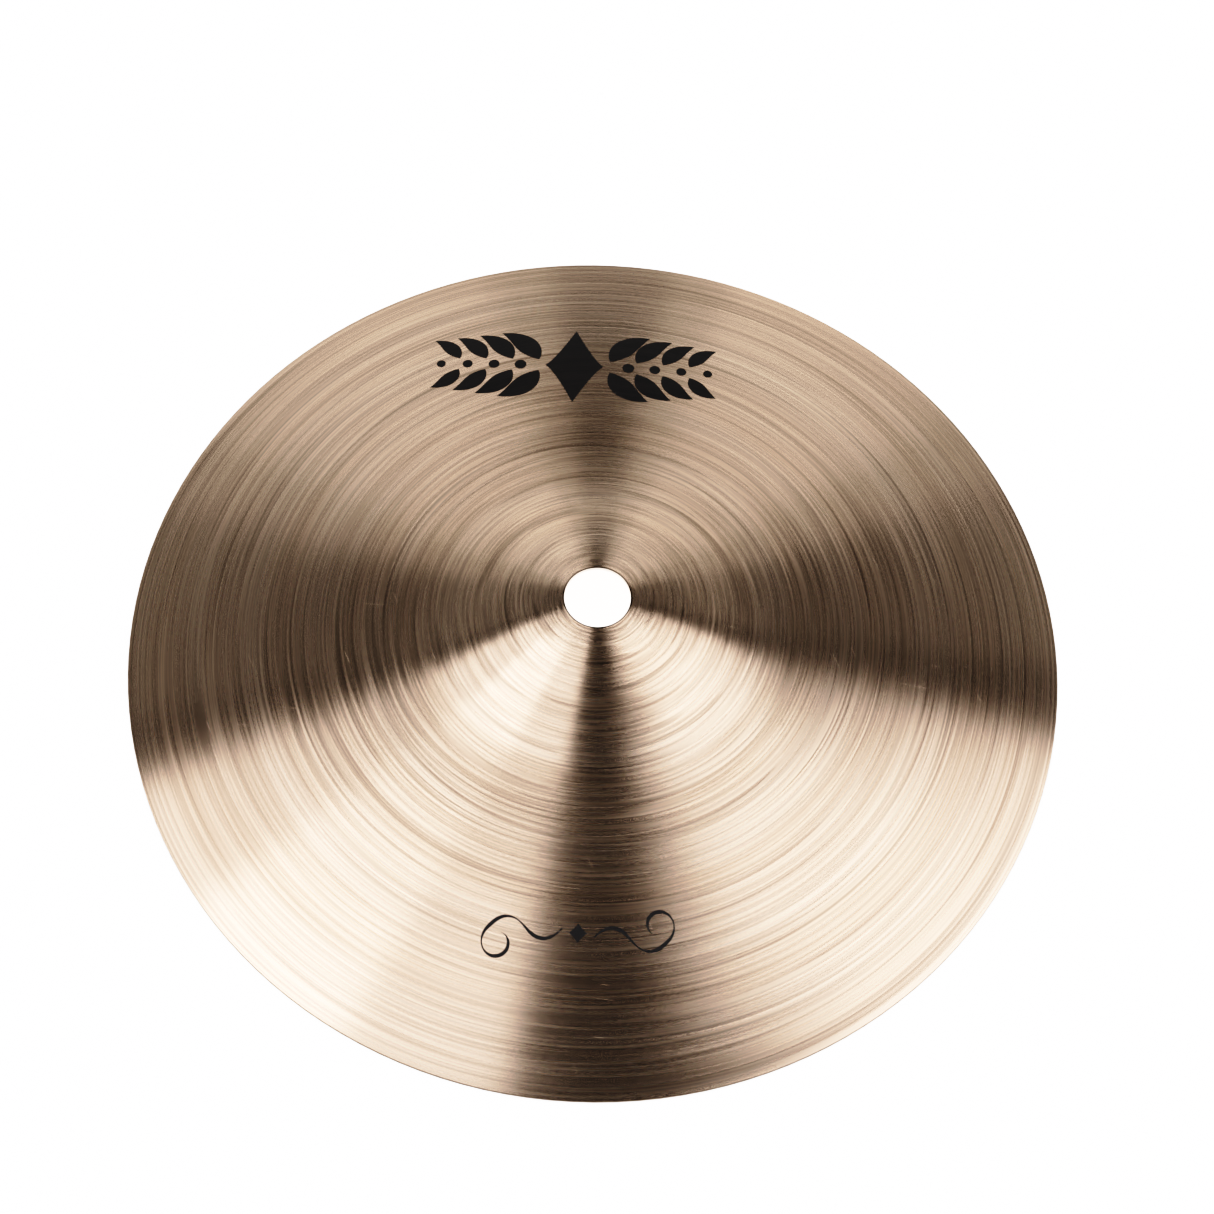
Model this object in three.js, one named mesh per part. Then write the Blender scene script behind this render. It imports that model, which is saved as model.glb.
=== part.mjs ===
// A small lathed bronze cymbal: one piece of metal, from the hole in its bell to its edge.
// Millimetres, +Z up. It rests on its edge on the plane z = 0, bell upwards, with its axis on Z.
import * as THREE from "three";

// Driving dimensions
const diameter = 203.2;
const holeDiameter = 14;
const landDiameter = 18.4; // flat ring pressed around the hole, where the felts bear
const bellThickness = 1.05;
const edgeThickness = 0.75;
const holeChamfer = 0.2;
const restRingWidth = 0.6; // flat that lathing and use leave under the edge
const edgeRound = 0.22;
const aroundSteps = 72;

const edgeRadius = diameter / 2;
const landRadius = landDiameter / 2;
const holeRadius = holeDiameter / 2;

// The upper face is a chain of arcs of revolution. A station is where two arcs meet: its radius, the
// face's downward slope there in degrees, and how many facets the arc that ends there is cut into.
const stations = [
  { name: "land", radius: landRadius, slope: 12, facets: 0 },
  { name: "bell flank", radius: 0.25 * edgeRadius, slope: 24, facets: 4 },
  { name: "bow start", radius: 0.43 * edgeRadius, slope: 5, facets: 6 },
  { name: "edge", radius: edgeRadius - edgeRound, slope: 18, facets: 8 },
];

const radians = THREE.MathUtils.degToRad;

// How far an arc falls between two stations.
function arcDrop(from, to) {
  return (to.radius - from.radius) * Math.tan(radians((from.slope + to.slope) / 2));
}

// The points of one arc after its first, each with the slope it has there. An arc whose slope grows is
// convex; one whose slope shrinks is hollow, and its signed radius of curvature comes out negative.
function arcPoints(from, to, startHeight) {
  const startAngle = radians(from.slope);
  const endAngle = radians(to.slope);
  const curvatureRadius = (to.radius - from.radius) / (Math.sin(endAngle) - Math.sin(startAngle));
  return Array.from({ length: to.facets }, (_, i) => {
    const angle = startAngle + ((endAngle - startAngle) * (i + 1)) / to.facets;
    return {
      radius: from.radius + curvatureRadius * (Math.sin(angle) - Math.sin(startAngle)),
      height: startHeight + curvatureRadius * (Math.cos(angle) - Math.cos(startAngle)),
      angle,
    };
  });
}

// The upper face from the land to the edge.
function upperFace() {
  let height = edgeThickness + stations.slice(1).reduce((sum, to, i) => sum + arcDrop(stations[i], to), 0);
  const face = [{ radius: landRadius, height, angle: 0 }];
  stations.slice(1).forEach((to, i) => {
    face.push(...arcPoints(stations[i], to, height));
    height -= arcDrop(stations[i], to);
  });
  return face;
}

// The lower face lies one wall thickness under the upper one, measured square to it. The wall thins
// evenly from the bell to the edge.
function lowerPoint({ radius, height, angle }) {
  const outward = (radius - landRadius) / (edgeRadius - landRadius);
  const thickness = THREE.MathUtils.lerp(bellThickness, edgeThickness, outward);
  return new THREE.Vector2(radius - thickness * Math.sin(angle), height - thickness * Math.cos(angle));
}

// The closed section, in (radius, height): up the hole, out over the top and back underneath. A lathe
// geometry faces outwards when its section runs the other way round, so it is handed over reversed.
function cymbalSection() {
  const upper = upperFace();
  const top = upper[0].height;
  const lower = upper.map(lowerPoint);
  const landUnderside = lower[0].y;
  const rimTop = upper[upper.length - 1].height;
  const restInner = edgeRadius - edgeRound - restRingWidth;

  const hole = [
    new THREE.Vector2(holeRadius, landUnderside + holeChamfer),
    new THREE.Vector2(holeRadius, top - holeChamfer),
    new THREE.Vector2(holeRadius + holeChamfer, top),
  ];
  const edge = [
    new THREE.Vector2(edgeRadius, rimTop - edgeRound),
    new THREE.Vector2(edgeRadius, edgeRound),
    new THREE.Vector2(edgeRadius - edgeRound, 0),
    new THREE.Vector2(restInner, 0),
  ];
  const underside = lower.filter((point) => point.y > 0 && point.x < restInner).reverse();
  const holeUnderEdge = new THREE.Vector2(holeRadius + holeChamfer, landUnderside);
  const section = [
    ...hole,
    ...upper.map(({ radius, height }) => new THREE.Vector2(radius, height)),
    ...edge,
    ...underside,
    holeUnderEdge,
  ];
  return [...section, section[0].clone()].reverse();
}

function cymbal() {
  const bronze = new THREE.MeshStandardMaterial({ color: 0xc9a98a, roughness: 0.35, metalness: 1 });
  const body = new THREE.LatheGeometry(cymbalSection(), aroundSteps).rotateX(Math.PI / 2);
  const mesh = new THREE.Mesh(body, bronze);
  mesh.name = "cymbal";
  return mesh;
}

const part = new THREE.Group();
part.add(cymbal());
export default part;
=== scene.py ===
# The looks of a small lathed bronze cymbal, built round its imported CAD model. Metres, +Z up.
import math

import bpy
import numpy as np
from mathutils import Matrix, Vector


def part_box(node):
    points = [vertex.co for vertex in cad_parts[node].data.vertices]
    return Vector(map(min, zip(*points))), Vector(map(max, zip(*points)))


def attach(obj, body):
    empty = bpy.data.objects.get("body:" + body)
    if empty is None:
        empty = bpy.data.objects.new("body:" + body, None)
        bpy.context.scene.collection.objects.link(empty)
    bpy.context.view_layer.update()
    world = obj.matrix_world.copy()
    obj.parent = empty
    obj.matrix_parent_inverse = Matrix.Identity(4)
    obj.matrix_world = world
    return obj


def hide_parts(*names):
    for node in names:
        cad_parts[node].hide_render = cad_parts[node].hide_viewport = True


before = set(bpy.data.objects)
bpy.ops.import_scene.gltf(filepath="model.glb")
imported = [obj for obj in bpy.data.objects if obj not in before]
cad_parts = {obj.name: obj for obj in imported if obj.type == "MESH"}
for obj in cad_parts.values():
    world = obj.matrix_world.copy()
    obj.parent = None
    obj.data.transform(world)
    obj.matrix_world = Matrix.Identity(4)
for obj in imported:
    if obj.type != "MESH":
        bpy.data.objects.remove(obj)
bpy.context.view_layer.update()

MM = 0.001

# ---------------------------------------------------------------- driving dimensions
# The metal's section repeats the CAD model's, apart from its crown, which has no flat land: a chain of
# arcs of revolution between stations, each a radius and the downward slope there in degrees.
node_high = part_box("cymbal")[1]
EDGE_RADIUS = node_high.x
TOP = node_high.z
HOLE_RADIUS = 7.0 * MM
LAND_RADIUS = 9.2 * MM  # the CAD's flat ring for the felts, kept on the underside
BELL_THICKNESS = 1.05 * MM
EDGE_THICKNESS = 0.75 * MM
HOLE_ROUND = 0.2 * MM
EDGE_ROUND = 0.22 * MM
REST_RING_WIDTH = 0.6 * MM
SMALL_ROUND_STEPS = 4  # facets across a small round
STATIONS = [
    (HOLE_RADIUS + HOLE_ROUND, 4),
    (14 * MM, 15.5),
    (0.25 * EDGE_RADIUS, 24),
    (0.43 * EDGE_RADIUS, 5),
    (EDGE_RADIUS - EDGE_ROUND, 18),
]

# Lathe grooves cut into the faces, and the slow waves that hammering leaves in the sheet
AROUND_STEPS = 144
TOP_GROOVE = {"pitch": 0.95 * MM, "depth": 0.014 * MM, "steps": 4, "seed": 11}
UNDER_GROOVE = {"pitch": 1.35 * MM, "depth": 0.016 * MM, "steps": 3, "seed": 23}
BELL_BITE = 1.6  # how much more than elsewhere the tool bites into the bell
BELL_BITE_REACH = 30 * MM
WAVE_COUNT = 40
WAVE_HEIGHT = 0.06 * MM
WAVE_SPREAD = 11 * MM
WAVE_SEED = 5

# The printed marks: ornaments of ink, each laid round a point of the plan
FILM_THICKNESS = 0.03 * MM
FILM_SINK = 0.026 * MM  # below the bottoms of the grooves
FILM_CELL = 1.2 * MM
FILM_BORDER_ANGLE = 40  # degrees: a film's border stays crisp
BACK_MARK_CENTRE = (-8 * MM, 66.5 * MM)
FRONT_MARK_CENTRE = (-0.5 * MM, -69.5 * MM)

# The camera, seen from the rim's centre: distance in edge radii, then angles in degrees
CAMERA_DISTANCE = 4.7575
CAMERA_ELEVATION = 63.567
CAMERA_YAW = -0.260
CAMERA_PITCH = 0.991
CAMERA_ROLL = -2.907
FOCAL_LENGTH = 65.24  # mm, as is the sensor's width
SENSOR_WIDTH = 36

# The rings of noise in the metal: ring_noise() says what these are
FINE_RINGS = {"pitch": 0.42 * MM, "around": 1.0, "detail": 0.0, "seed": 3.0}
HAIR_RINGS = {"pitch": 0.6 * MM, "around": 2.2, "detail": 0.0, "seed": 7.0}
MEDIUM_RINGS = {"pitch": 1.5 * MM, "around": 0.8, "detail": 1.0, "seed": 17.0}
BROAD_RINGS = {"pitch": 8 * MM, "around": 0.6, "detail": 2.0, "seed": 41.0}
CUT_RINGS = {"pitch": 1.1 * MM, "around": 0.8, "detail": 0.0, "seed": 83.0}

# The metal's colours, and how far each kind of ring makes it brighter or darker; with a painted
# highlight on the hole's wall and painted shade on the lips of hole and rim
BRONZE_DEEP = (0.78, 0.58, 0.43, 1)
BRONZE_PALE = (0.80, 0.61, 0.465, 1)
# painted highlight: the hole's wall is coloured near white for the bright line round the hole
HOLE_WALL_PAINTED_HIGHLIGHT = (0.95, 0.88, 0.80, 1)
FINE_SWAY = 0.14
HAIR_SWAY = 0.07
MEDIUM_SWAY = 0.06
BROAD_SWAY = 0.05
CUT_DARKENING = 0.2
HOLE_LIP_PAINTED_SHADE = 0.22  # painted shade: how bright the dark lines painted on the lips of hole and rim are left
RIM_LIP_PAINTED_SHADE = 0.35

# How rough and how uneven the metal is
SMOOTHEST = 0.248
ROUGHEST = 0.282
CLOUD_ROUGHNESS = 0.015
MEDIUM_SWING = 0.009  # of a turn: how far these rings throw their highlight to either side
HAIR_SWING = 0.007
RELIEF = 0.045 * MM

# Pits and straight scratches; each direction of scratches is an angle, a noise level and a seed
PIT_CELL = 11 * MM
PIT_SIZE = 0.4 * MM
SCRATCH_LENGTH = 9 * MM
SCRATCH_WIDTH = 0.3 * MM
SCRATCH_DIRECTIONS = [(4, 0.86, 2.3), (62, 0.85, 9.1)]
MARK_TURN = 0.10  # of a turn: how far a mark throws its highlight aside

# The ink
INK_DARK = (0.006, 0.005, 0.005, 1)
INK_PALE = (0.014, 0.011, 0.010, 1)
INK_RINGS = {"pitch": 0.5 * MM, "around": 4.0, "detail": 1.0, "seed": 3.0}
INK_RELIEF = 0.02 * MM

# The view's tone: pairs of light in, counted from black to twice full white, and light out
FILM_CURVE = [(0.023, 0.01), (0.0427, 0.03), (0.0833, 0.1), (0.1827, 0.3), (0.456, 0.75), (0.657, 0.9)]

# The studio: a pale floor that sweeps up at its far edge, under a dome of fan-shaped panels
FLOOR_SIZE = 12
SWEEP_START = 5.2
SWEEP_RADIUS = 0.8
SWEEP_STEPS = 8
SWEEP_AROUND_STEPS = 96
FLOOR_GREY = (0.4, 0.4, 0.4, 1)
FLOOR_GLOW = 1.6
SKY = 0.045
COOL_LIGHT = (1, 0.985, 1.02)
WARM_LIGHT = (1, 0.98, 0.95)
PLAIN_LIGHT = (1, 1, 1)
FRONT_DOME = 2.4
DOME = 2.5
BACK_DOME = 2.6
# Each panel: its dome's radius, colour, strength, and (reach, first azimuth, last azimuth) at its near
# and far ends. softbox() says what these are.
PANELS = {
    "softbox_left_near": (DOME, COOL_LIGHT, 5.0, (0.30, 225, 259), (0.37, 204, 262)),
    "softbox_left_far": (DOME, COOL_LIGHT, 1.96, (0.37, 204, 262), (1.05, 201.5, 262.5)),
    "softbox_left_core": (FRONT_DOME, COOL_LIGHT, 3.5, (0.6, 219, 242), (1.05, 219, 242)),
    "softbox_right_near": (DOME, COOL_LIGHT, 4.5, (0.30, 300, 326), (0.48, 283, 345)),
    "softbox_right_far": (DOME, COOL_LIGHT, 1.96, (0.48, 283, 345), (1.2, 309, 353)),
    "softbox_top": (DOME, WARM_LIGHT, 0.54, (0.11, 25, 81), (0.56, 23, 81)),
    "softbox_top_core": (FRONT_DOME, WARM_LIGHT, 0.92, (0.11, 36, 71), (0.56, 34, 72)),
    "softbox_back": (DOME, WARM_LIGHT, 0.53, (0.13, 99, 161), (0.6, 100, 167)),
    "softbox_back_core": (FRONT_DOME, WARM_LIGHT, 0.87, (0.13, 108, 151), (0.6, 110, 157)),
    "softbox_right_side": (BACK_DOME, PLAIN_LIGHT, 0.17, (0.1, -4, 30), (1.15, 0, 30)),
    "softbox_left_side": (BACK_DOME, PLAIN_LIGHT, 0.17, (0.1, 158, 196), (1.15, 162, 194)),
    "softbox_far_side": (BACK_DOME, PLAIN_LIGHT, 0.15, (0.3, 78, 101), (0.6, 78, 101)),
}


# ---------------------------------------------------------------- the section
def arc_chain(radius):
    """Drop below the first station and slope (radians) of the upper face, at each radius."""
    radius = np.asarray(radius, float)
    drop = np.zeros_like(radius)
    slope = np.zeros_like(radius)
    fallen = 0.0
    for (r0, s0), (r1, s1) in zip(STATIONS, STATIONS[1:]):
        a0, a1 = math.radians(s0), math.radians(s1)
        curvature = (r1 - r0) / (math.sin(a1) - math.sin(a0))
        beyond = radius > r0
        angle = np.arcsin(math.sin(a0) + (np.clip(radius, r0, r1) - r0) / curvature)
        drop = np.where(beyond, fallen - curvature * (np.cos(angle) - math.cos(a0)), drop)
        slope = np.where(beyond, angle, slope)
        fallen += (r1 - r0) * math.tan((a0 + a1) / 2)
    return drop, slope


def upper_height(radius):
    """Height of the upper face, counted up from the edge."""
    drop = arc_chain(radius)[0]
    whole_drop = arc_chain(EDGE_RADIUS)[0]
    return EDGE_THICKNESS + whole_drop - drop


def wave_shift(x, y):
    """Vertical shift of the sheet by hammering: none round the hole and none at the edge."""
    rng = np.random.default_rng(WAVE_SEED)
    radius = np.hypot(x, y)
    shift = np.zeros_like(radius)
    for _ in range(WAVE_COUNT):
        reach = EDGE_RADIUS * math.sqrt(rng.uniform(0.06, 0.95))
        azimuth = rng.uniform(0, 2 * math.pi)
        height = WAVE_HEIGHT * rng.uniform(-1, 1)
        spread = WAVE_SPREAD * rng.uniform(0.6, 1.6)
        away = (x - reach * math.cos(azimuth)) ** 2 + (y - reach * math.sin(azimuth)) ** 2
        shift += height * np.exp(-away / (2 * spread**2))
    inner = np.clip((radius - 1.3 * LAND_RADIUS) / (12 * MM), 0, 1)
    outer = np.clip((EDGE_RADIUS - 1.5 * MM - radius) / (9 * MM), 0, 1)
    return shift * inner * outer


def surface_height(x, y):
    return upper_height(np.hypot(x, y)) + wave_shift(x, y)


def grooves(start, end, pitch, depth, steps, seed):
    """Radii across a lathed face, and how deep the tool went at each: a chain of shallow scallops."""
    rng = np.random.default_rng(seed)
    cuts = [start]
    while cuts[-1] < end:
        cuts.append(cuts[-1] + pitch * rng.uniform(0.6, 1.4))
    cuts = start + (np.array(cuts) - start) * (end - start) / (cuts[-1] - start)
    radii, depths = [], []
    for inner, outer in zip(cuts, cuts[1:]):
        on_bell = math.exp(-((inner / BELL_BITE_REACH) ** 4))
        bite = depth * rng.uniform(0.25, 1.6) * (1 + BELL_BITE * on_bell)
        for share in np.arange(1, steps + 1) / steps:
            radii.append(inner + (outer - inner) * share)
            depths.append(bite * 4 * share * (1 - share))
    return np.array(radii), np.array(depths)


def rounded(centre_r, centre_z, radius, start, end, steps=SMALL_ROUND_STEPS):
    """Points of a round from one angle to another (degrees, 0 outwards, 90 up)."""
    angles = np.radians(np.linspace(start, end, steps + 1))
    return [(centre_r + radius * math.cos(a), centre_z + radius * math.sin(a)) for a in angles]


def cymbal_grid():
    """The closed section swept round: an array of points, sections by azimuths by XYZ."""
    face_start, face_end = HOLE_RADIUS + HOLE_ROUND, EDGE_RADIUS - EDGE_ROUND
    rest_inner = face_end - REST_RING_WIDTH
    crown = float(upper_height(face_start))
    land_under = TOP - BELL_THICKNESS

    # each row: radius, height, groove depth, groove direction (radius, height), share of the waves
    hole = rounded(face_start, land_under + HOLE_ROUND, HOLE_ROUND, 270, 180)
    hole += rounded(face_start, crown - HOLE_ROUND, HOLE_ROUND, 180, 90)
    rows = [(r, z, 0, 0, 0, 0) for r, z in hole]
    radii, depths = grooves(face_start, face_end, **TOP_GROOVE)
    slopes = arc_chain(radii)[1]
    rows += [
        (r, z, depth, -math.sin(slope), -math.cos(slope), 1)
        for r, z, depth, slope in zip(radii, upper_height(radii), depths, slopes)
    ]
    rim = rounded(face_end, EDGE_THICKNESS - EDGE_ROUND, EDGE_ROUND, 90, 0)[1:]
    rim += rounded(face_end, EDGE_ROUND, EDGE_ROUND, 0, -90)
    rows += [(r, z, 0, 0, 0, 0) for r, z in [*rim, (rest_inner, 0)]]
    radii, depths = grooves(face_start, face_end, **UNDER_GROOVE)
    slopes = np.where(radii < LAND_RADIUS, 0, arc_chain(radii)[1])
    under = []
    for r, z, depth, slope in zip(radii, upper_height(radii), depths, slopes):
        outward = max(0.0, (r - LAND_RADIUS) / (EDGE_RADIUS - LAND_RADIUS))
        wall = BELL_THICKNESS + (EDGE_THICKNESS - BELL_THICKNESS) * outward
        under_r, under_z = r - wall * math.sin(slope), z - wall * math.cos(slope)
        if under_z > 0.02 * MM and face_start + 0.1 * MM < under_r < rest_inner - 0.1 * MM:
            under.append((under_r, under_z, depth, math.sin(slope), math.cos(slope), 1))
    rows += reversed(under)

    azimuths = np.linspace(0, 2 * math.pi, AROUND_STEPS, endpoint=False)
    r, z, depth, normal_r, normal_z, waves = (column[:, None] for column in np.array(rows).T)
    radial = r + depth * normal_r
    x, y = radial * np.cos(azimuths), radial * np.sin(azimuths)
    height = z + depth * normal_z + waves * wave_shift(x, y)
    return np.stack([x, y, height], axis=-1)


def grid_faces(count, across, wrap_count, wrap_across, first=0):
    """Quads over a grid of points, which may close on itself in either direction."""
    i = np.arange(count if wrap_count else count - 1)[:, None]
    j = np.arange(across if wrap_across else across - 1)[None, :]
    after, beside = (i + 1) % count, (j + 1) % across
    corners = [i * across + j, after * across + j, after * across + beside, i * across + beside]
    return (np.stack(corners, axis=-1).reshape(-1, 4) + first).tolist()


def add_mesh(name, points, faces, material):
    mesh = bpy.data.meshes.new(name)
    mesh.from_pydata(points, [], faces)
    mesh.shade_smooth()
    mesh.materials.append(material)
    obj = bpy.data.objects.new(name, mesh)
    bpy.context.scene.collection.objects.link(obj)
    return obj


def lathed_piece(name, material):
    grid = cymbal_grid()
    faces = grid_faces(*grid.shape[:2], True, True)
    return add_mesh(name, grid.reshape(-1, 3).tolist(), faces, material)


# ---------------------------------------------------------------- the printed marks
def ribbon(line, half_width):
    """A shape that swells and tapers along a centre line: points of the plan, along by across by XY."""
    line = np.asarray(line, float)
    half_width = np.maximum(np.asarray(half_width, float), 0.02 * MM)
    run = np.gradient(line, axis=0)
    run /= np.linalg.norm(run, axis=1)[:, None]
    side = np.stack([-run[:, 1], run[:, 0]], axis=1)
    across = np.linspace(-1, 1, 2 * math.ceil(half_width.max() / FILM_CELL) + 1)
    return line[:, None, :] + side[:, None, :] * half_width[:, None, None] * across[None, :, None]


def lozenge(centre_x, half_length, half_height, waist):
    """A lozenge across the plan's X; waist over 1 hollows its four sides."""
    along = np.linspace(-1, 1, 2 * math.ceil(half_length / FILM_CELL) + 1)
    line = np.stack([centre_x + along * half_length, 0 * along], axis=1)
    return ribbon(line, half_height * (1 - np.abs(along)) ** waist)


def disc(centre_x, centre_y, radius):
    along = -np.cos(np.linspace(0, math.pi, 17))
    line = np.stack([centre_x + along * radius, centre_y + 0 * along], axis=1)
    return ribbon(line, radius * np.sqrt(np.maximum(0, 1 - along**2)))


def walk(start, headings, length):
    """A line of even steps from a point, each in its own heading (radians)."""
    directions = np.stack([np.cos(headings[:-1]), np.sin(headings[:-1])], axis=1)
    steps = directions * length / (len(headings) - 1)
    return start + np.concatenate([np.zeros((1, 2)), np.cumsum(steps, axis=0)])


def leaf(start, angle, length, half_width, bend):
    """A leaf that leaves a point at an angle (degrees) and bends evenly along its length."""
    share = np.linspace(0, 1, 2 * math.ceil(length / FILM_CELL) + 1)
    line = walk(start, np.radians(angle + bend * share), length)
    return ribbon(line, half_width * np.sin(math.pi * share**0.8))


def back_ornament():
    """A large lozenge between two sprays of leaves, with a row of discs along each stem."""
    leaf_pairs, spread_angle, bend = 4, 64, 46
    from_stem, disc_offset = 1.7 * MM, 4.2 * MM
    shapes = [lozenge(0, 6.6 * MM, 11 * MM, 1.25)]
    for side in (-1, 1):
        for i in range(leaf_pairs):
            reach = (8.2 + 6.1 * i) * MM
            length = (12.4 - 1.3 * i) * MM
            for up in (-1, 1):
                angle = 90 - side * 90 + side * up * spread_angle
                start = (side * reach, up * from_stem)
                shapes.append(leaf(start, angle, length, 0.2 * length, -side * up * bend))
            shapes.append(disc(side * (reach + disc_offset), 0, (1.35 - 0.1 * i) * MM))
    return shapes


def front_flourish():
    """A thin scroll: from a small lozenge, two tapering waves that curl over at their outer ends."""
    wave_length, curl_length = 17.5 * MM, 15 * MM
    steepest, curl_turn = 46, 300
    along = np.linspace(0, 1, 160)
    in_wave = np.minimum(along * (wave_length + curl_length) / wave_length, 1)
    in_curl = np.maximum(along * (wave_length + curl_length) - wave_length, 0) / curl_length
    headings = np.radians(steepest * np.cos(2 * math.pi * in_wave) + curl_turn * in_curl**1.25)
    line = walk((3.2 * MM, -0.8 * MM), headings, wave_length + curl_length)
    swell = np.abs(np.sin(3 * math.pi * along)) ** 1.5
    half_width = (0.12 + 0.27 * swell) * MM * np.minimum(1, 14 * (1 - along))
    return [lozenge(0, 1.8 * MM, 1.9 * MM, 1.2), ribbon(line, half_width), ribbon(-line, half_width)]


def printed_piece(name, shapes, centre, material):
    """A film of ink: every shape laid on the upper face and closed underneath and along its border."""
    points, faces = [], []
    for shape in shapes:
        along, across = shape.shape[:2]
        x, y = shape[..., 0] + centre[0], shape[..., 1] + centre[1]
        face = surface_height(x, y)
        top = np.stack([x, y, face + FILM_THICKNESS], axis=-1)
        bottom = np.stack([x, y, face - FILM_SINK], axis=-1)[:, ::-1]
        skin = np.concatenate([top, bottom], axis=1)
        first = len(points)
        points += skin.reshape(-1, 3).tolist()
        width = 2 * across
        faces += grid_faces(along, width, False, True, first)
        for row, flip in ((0, False), (along - 1, True)):
            for j in range(across - 1):
                cap = [first + row * width + k for k in (j, j + 1, width - 2 - j, width - 1 - j)]
                faces.append(cap[::-1] if flip else cap)
    obj = add_mesh(name, points, faces, material)
    obj.data.set_sharp_from_angle(angle=math.radians(FILM_BORDER_ANGLE))
    return obj


# ---------------------------------------------------------------- materials
class Nodes:
    """A few short calls for building a material's node tree."""

    def __init__(self, name):
        self.material = bpy.data.materials.new(name)
        self.material.use_nodes = True
        self.tree = self.material.node_tree
        self.shader = self.tree.nodes["Principled BSDF"]

    def add(self, kind, inputs=(), **settings):
        node = self.tree.nodes.new(kind)
        for key, value in settings.items():
            setattr(node, key, value)
        for key, value in dict(inputs).items():
            self.feed(node.inputs[key], value)
        return node

    def feed(self, socket, value):
        if isinstance(value, bpy.types.NodeSocket):
            self.tree.links.new(value, socket)
        else:
            socket.default_value = value

    def math(self, operation, *values):
        return self.add("ShaderNodeMath", enumerate(values), operation=operation).outputs[0]

    def vector(self, operation, *values):
        return self.add("ShaderNodeVectorMath", enumerate(values), operation=operation)

    def spread(self, value, low, high, to_low=0.0, to_high=1.0):
        inputs = {"Value": value, "From Min": low, "From Max": high, "To Min": to_low, "To Max": to_high}
        return self.add("ShaderNodeMapRange", inputs, clamp=True).outputs[0]

    def mix(self, share, first, second):
        node = self.add("ShaderNodeMix", data_type="RGBA")
        self.feed(node.inputs[0], share)
        self.feed(node.inputs[6], first)
        self.feed(node.inputs[7], second)
        return node.outputs[2]


def ring_space(nodes):
    """Object position, distance from the axis and the unit vector pointing away from it."""
    position = nodes.add("ShaderNodeTexCoord").outputs["Object"]
    level = nodes.vector("MULTIPLY", position, (1, 1, 0)).outputs[0]
    radius = nodes.vector("LENGTH", level).outputs["Value"]
    outward = nodes.vector("NORMALIZE", level).outputs[0]
    return position, radius, outward


def ring_noise(nodes, radius, outward, pitch, around, detail, seed):
    """Noise in rings about the axis: it changes every pitch metres outwards, and slowly around, the
    faster the greater around is."""
    along = nodes.vector("SCALE", outward)
    along.inputs["Scale"].default_value = around
    lift = nodes.add("ShaderNodeCombineXYZ", {"Z": nodes.math("MULTIPLY_ADD", radius, 1 / pitch, seed)})
    place = nodes.vector("ADD", along.outputs[0], lift.outputs[0]).outputs[0]
    inputs = {"Vector": place, "Scale": 1.0, "Detail": detail, "Roughness": 0.6}
    return nodes.add("ShaderNodeTexNoise", inputs).outputs["Fac"]


def streaks(nodes, position, angle, length, width, level, seed):
    """Fine straight scratches in one direction (degrees), where the noise is above a level."""
    inputs = {"Vector": position, "Angle": math.radians(angle)}
    turned = nodes.add("ShaderNodeVectorRotate", inputs).outputs[0]
    scale, shift = (1 / length, 1 / width, 0), (seed, seed, seed)
    place = nodes.vector("MULTIPLY_ADD", turned, scale, shift).outputs[0]
    inputs = {"Vector": place, "Scale": 1.0, "Detail": 0.0}
    lines = nodes.add("ShaderNodeTexNoise", inputs).outputs["Fac"]
    return nodes.spread(lines, level, level + 0.03)


def pits(nodes, position, cell, size):
    """Scattered dots, at most one to a cell."""
    dots = nodes.add("ShaderNodeTexVoronoi", {"Vector": position, "Scale": 1 / cell})
    chosen = nodes.spread(dots.outputs["Color"], 0.55, 0.56)
    near = nodes.spread(dots.outputs["Distance"], 0.4 * size / cell, 0.6 * size / cell, 1.0, 0.0)
    return nodes.math("MULTIPLY", chosen, near)


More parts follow.
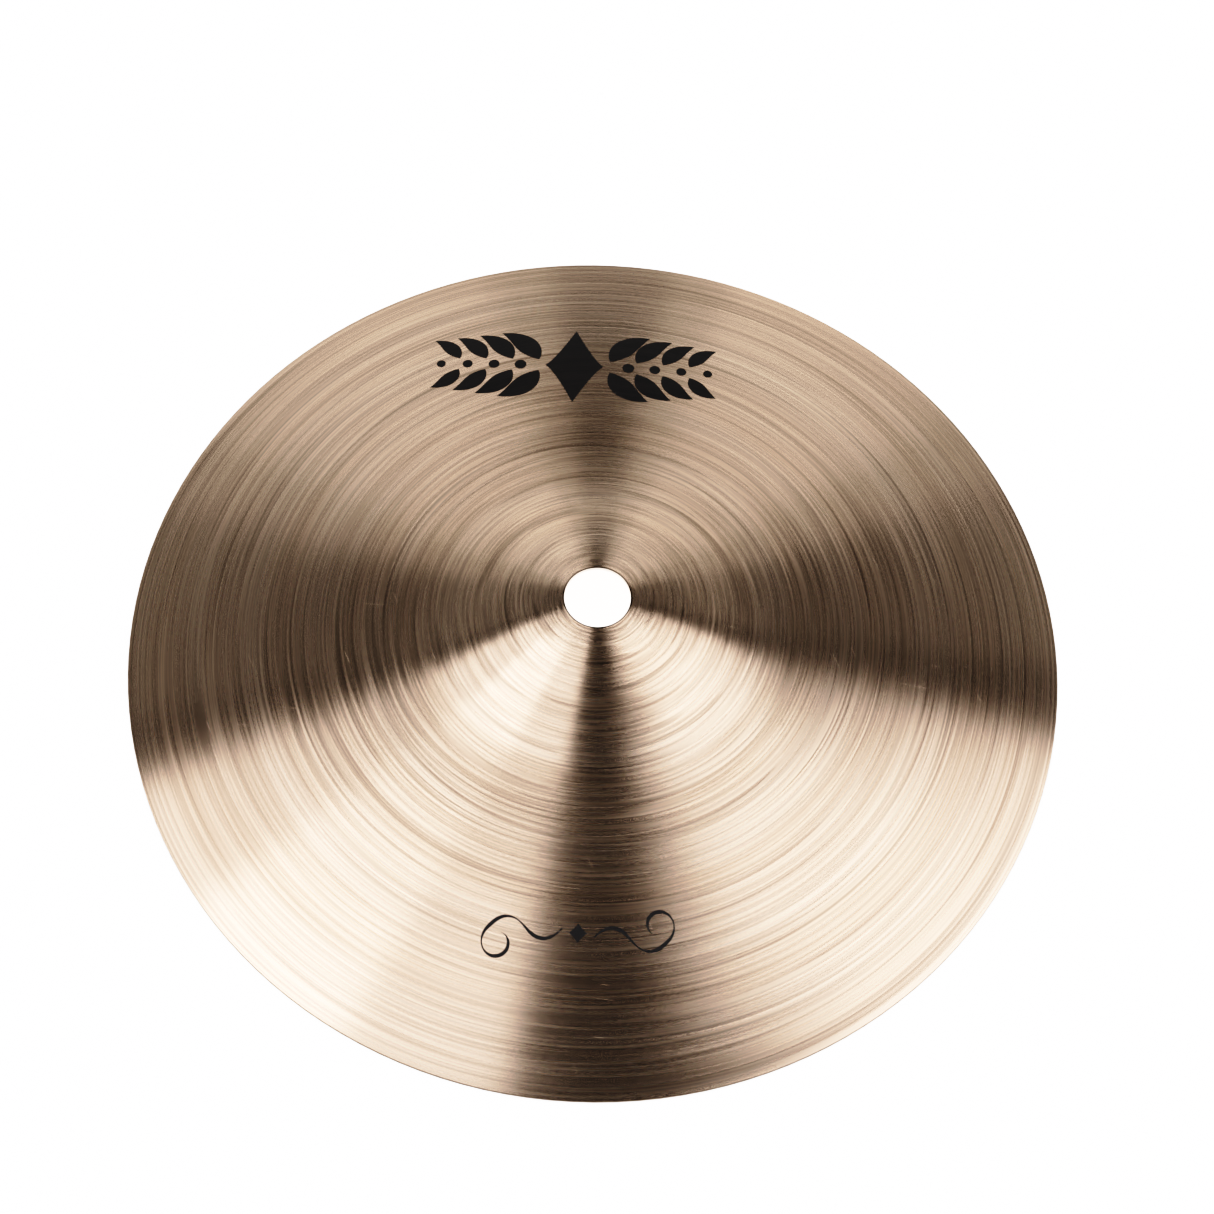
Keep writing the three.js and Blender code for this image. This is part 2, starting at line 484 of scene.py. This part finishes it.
def bronze_material():
    nodes = Nodes("lathed_bronze")
    position, radius, outward = ring_space(nodes)
    fine = ring_noise(nodes, radius, outward, **FINE_RINGS)
    hair = ring_noise(nodes, radius, outward, **HAIR_RINGS)
    medium = ring_noise(nodes, radius, outward, **MEDIUM_RINGS)
    broad = ring_noise(nodes, radius, outward, **BROAD_RINGS)
    cuts = nodes.spread(ring_noise(nodes, radius, outward, **CUT_RINGS), 0.62, 0.68)
    inputs = {"Vector": position, "Scale": 28.0, "Detail": 4.0}
    cloud = nodes.add("ShaderNodeTexNoise", inputs).outputs["Fac"]

    # how bright each ring of metal is, about 1, and the painted shade: how dark the lines painted on the
    # lips of rim and hole are
    shade = nodes.spread(fine, 0.34, 0.66, 1 - FINE_SWAY, 1 + FINE_SWAY)
    for noise, sway in ((medium, MEDIUM_SWAY), (broad, BROAD_SWAY), (hair, HAIR_SWAY)):
        shade = nodes.math("ADD", shade, nodes.spread(noise, 0.32, 0.68, -sway, sway))
    shade = nodes.math("MULTIPLY_ADD", cuts, -CUT_DARKENING, shade)
    # painted shade: dark lines on the rounded lips of hole and rim, where the turning edges fall dark
    hole_lip_painted_shade = nodes.spread(radius, HOLE_RADIUS + 0.28 * MM, HOLE_RADIUS + 0.42 * MM, HOLE_LIP_PAINTED_SHADE, 1.0)
    rim_lip_painted_shade = nodes.spread(radius, EDGE_RADIUS - 0.18 * MM, EDGE_RADIUS - 0.04 * MM, 1.0, RIM_LIP_PAINTED_SHADE)
    shade = nodes.math("MULTIPLY", shade, nodes.math("MULTIPLY", hole_lip_painted_shade, rim_lip_painted_shade))
    tone = nodes.mix(nodes.spread(broad, 0.35, 0.65), BRONZE_DEEP, BRONZE_PALE)
    tone = nodes.vector("SCALE", tone)
    nodes.feed(tone.inputs["Scale"], shade)
    # painted highlight: the hole's wall takes a near-white colour in place of the bronze
    hole_wall_highlight_mask = nodes.spread(radius, HOLE_RADIUS + 0.02 * MM, HOLE_RADIUS + 0.06 * MM, 1.0, 0.0)
    tone = nodes.mix(hole_wall_highlight_mask, tone.outputs[0], HOLE_WALL_PAINTED_HIGHLIGHT)
    nodes.feed(nodes.shader.inputs["Base Color"], tone)

    rough = nodes.spread(hair, 0.3, 0.7, SMOOTHEST, ROUGHEST)
    rough = nodes.math("ADD", rough, nodes.spread(cloud, 0.35, 0.7, 0.0, CLOUD_ROUGHNESS))
    nodes.feed(nodes.shader.inputs["Roughness"], rough)
    nodes.feed(nodes.shader.inputs["Metallic"], 1.0)
    nodes.feed(nodes.shader.inputs["Anisotropic"], 1.0)
    # the highlight spreads across the rings; the downward part turns it on the walls of rim and hole
    across = nodes.vector("ADD", outward, (0, 0, -0.5)).outputs[0]
    nodes.feed(nodes.shader.inputs["Tangent"], across)
    # the rings aren't quite true, so each throws its highlight a little to one side; scratches and
    # pits throw theirs much further
    medium_swing = nodes.spread(medium, 0.25, 0.75, -MEDIUM_SWING, MEDIUM_SWING)
    swing = nodes.math("ADD", medium_swing, nodes.spread(hair, 0.25, 0.75, -HAIR_SWING, HAIR_SWING))
    marks = pits(nodes, position, PIT_CELL, PIT_SIZE)
    for angle, level, seed in SCRATCH_DIRECTIONS:
        scratches = streaks(nodes, position, angle, SCRATCH_LENGTH, SCRATCH_WIDTH, level, seed)
        marks = nodes.math("MAXIMUM", marks, scratches)
    turn = nodes.math("MULTIPLY_ADD", marks, MARK_TURN, swing)
    nodes.feed(nodes.shader.inputs["Anisotropic Rotation"], turn)

    height = nodes.math("MULTIPLY_ADD", medium, 1.5, nodes.math("MULTIPLY", hair, 0.7))
    height = nodes.math("MULTIPLY_ADD", cuts, -0.4, height)
    bump = nodes.add("ShaderNodeBump", {"Height": height, "Strength": 1.0, "Distance": RELIEF})
    nodes.feed(nodes.shader.inputs["Normal"], bump.outputs[0])
    return nodes.material


def ink_material():
    nodes = Nodes("print_ink")
    _, radius, outward = ring_space(nodes)
    fine = ring_noise(nodes, radius, outward, **INK_RINGS)
    tone = nodes.mix(nodes.spread(fine, 0.35, 0.65), INK_DARK, INK_PALE)
    nodes.feed(nodes.shader.inputs["Base Color"], tone)
    nodes.feed(nodes.shader.inputs["Roughness"], nodes.spread(fine, 0.3, 0.7, 0.42, 0.55))
    bump = nodes.add("ShaderNodeBump", {"Height": fine, "Strength": 1.0, "Distance": INK_RELIEF})
    nodes.feed(nodes.shader.inputs["Normal"], bump.outputs[0])
    return nodes.material


def floor_material():
    nodes = Nodes("pale_floor")
    nodes.feed(nodes.shader.inputs["Base Color"], FLOOR_GREY)
    nodes.feed(nodes.shader.inputs["Roughness"], 0.9)
    nodes.feed(nodes.shader.inputs["Emission Color"], (1, 1, 1, 1))
    nodes.feed(nodes.shader.inputs["Emission Strength"], FLOOR_GLOW)
    return nodes.material


def light_material(name, colour, strength):
    nodes = Nodes(name)
    nodes.tree.nodes.remove(nodes.shader)
    glow = nodes.add("ShaderNodeEmission", {"Color": (*colour, 1), "Strength": strength})
    output = next(n for n in nodes.tree.nodes if n.type == "OUTPUT_MATERIAL")
    nodes.tree.links.new(glow.outputs[0], output.inputs["Surface"])
    return nodes.material


# ---------------------------------------------------------------- the studio
def film_curve(view):
    """Give the view the dark foot and soft shoulder of a camera's picture."""
    view.use_curve_mapping = True
    view.curve_mapping.white_level = (2, 2, 2)
    curve = view.curve_mapping.curves[3]
    curve.points[0].location = (0, 0)
    curve.points[-1].location = (1, 1)
    for light_in, light_out in FILM_CURVE:
        curve.points.new(light_in, light_out)
    view.curve_mapping.update()


def camera():
    elevation = math.radians(CAMERA_ELEVATION)
    eye = CAMERA_DISTANCE * EDGE_RADIUS * Vector((0, -math.cos(elevation), math.sin(elevation)))
    forward = -eye.normalized()
    right = Vector((1, 0, 0))
    up = right.cross(forward)
    turn = Matrix.Rotation(math.radians(CAMERA_YAW), 3, up)
    forward, right = turn @ forward, turn @ right
    turn = Matrix.Rotation(math.radians(CAMERA_PITCH), 3, right)
    forward, up = turn @ forward, turn @ up
    turn = Matrix.Rotation(math.radians(CAMERA_ROLL), 3, forward)
    right, up = turn @ right, turn @ up
    data = bpy.data.cameras.new("camera")
    data.sensor_width = SENSOR_WIDTH
    data.lens = FOCAL_LENGTH
    data.clip_start, data.clip_end = 0.01, 50
    obj = bpy.data.objects.new("camera", data)
    obj.matrix_world = Matrix.Translation(eye) @ Matrix((right, up, -forward)).transposed().to_4x4()
    bpy.context.scene.collection.objects.link(obj)
    bpy.context.scene.camera = obj


def floor():
    """A pale floor that sweeps up at its far edge, so that low views see no horizon."""
    pale = floor_material()
    bpy.ops.mesh.primitive_plane_add(size=FLOOR_SIZE, location=(0, 0, -0.02 * MM))
    plane = bpy.context.object
    plane.name = "floor"
    plane.data.materials.append(pale)
    curve = rounded(SWEEP_START, SWEEP_RADIUS, SWEEP_RADIUS, 270, 360, SWEEP_STEPS)
    radius, height = np.array(curve).T[:, :, None]
    azimuths = np.linspace(0, 2 * math.pi, SWEEP_AROUND_STEPS, endpoint=False)
    x, y = radius * np.cos(azimuths), radius * np.sin(azimuths)
    sweep = np.stack([x, y, height + 0 * azimuths], axis=-1)
    faces = grid_faces(*sweep.shape[:2], False, True)
    backdrop = add_mesh("backdrop", sweep.reshape(-1, 3).tolist(), faces, pale)


def softbox(name, dome, colour, strength, near, far):
    """A fan-shaped panel on a dome over the stage. A groove that faces an azimuth mirrors the light
    lying on the vertical plane through the camera's mirror direction along that azimuth, so a panel is
    laid out by azimuth and by reach, the horizontal part of the light's direction counted from the
    mirror's. near and far are (reach, first azimuth, last azimuth) at its two ends."""
    mirror_y = math.cos(math.radians(CAMERA_ELEVATION))
    around, along = 24, 10
    points = []
    for i in range(around + 1):
        for j in range(along + 1):
            reach, first, last = (n + (f - n) * j / along for n, f in zip(near, far))
            azimuth = math.radians(first + (last - first) * i / around)
            x, y = reach * math.cos(azimuth), mirror_y + reach * math.sin(azimuth)
            inside = min(1, 0.99 / math.hypot(x, y))
            x, y = x * inside, y * inside
            points.append((x * dome, y * dome, math.sqrt(1 - x * x - y * y) * dome))
    faces = grid_faces(around + 1, along + 1, False, False)
    panel = add_mesh(name, points, faces, light_material(name, colour, strength))
    panel.visible_camera = False


def studio():
    scene = bpy.context.scene
    scene.view_settings.view_transform = "Standard"
    film_curve(scene.view_settings)
    world = bpy.data.worlds.new("studio")
    world.use_nodes = True
    world.node_tree.nodes["Background"].inputs[0].default_value = (1, 1, 1, 1)
    world.node_tree.nodes["Background"].inputs[1].default_value = SKY
    scene.world = world
    floor()
    for name, panel in PANELS.items():
        softbox(name, *panel)


# ---------------------------------------------------------------- assembly
camera()
studio()
ink = ink_material()
cymbal = lathed_piece("cymbal_body", bronze_material())
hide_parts("cymbal")
marks = [
    printed_piece("back_print_ornament", back_ornament(), BACK_MARK_CENTRE, ink),
    printed_piece("front_print_flourish", front_flourish(), FRONT_MARK_CENTRE, ink),
]
for piece in (cymbal, *marks):
    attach(piece, "root")
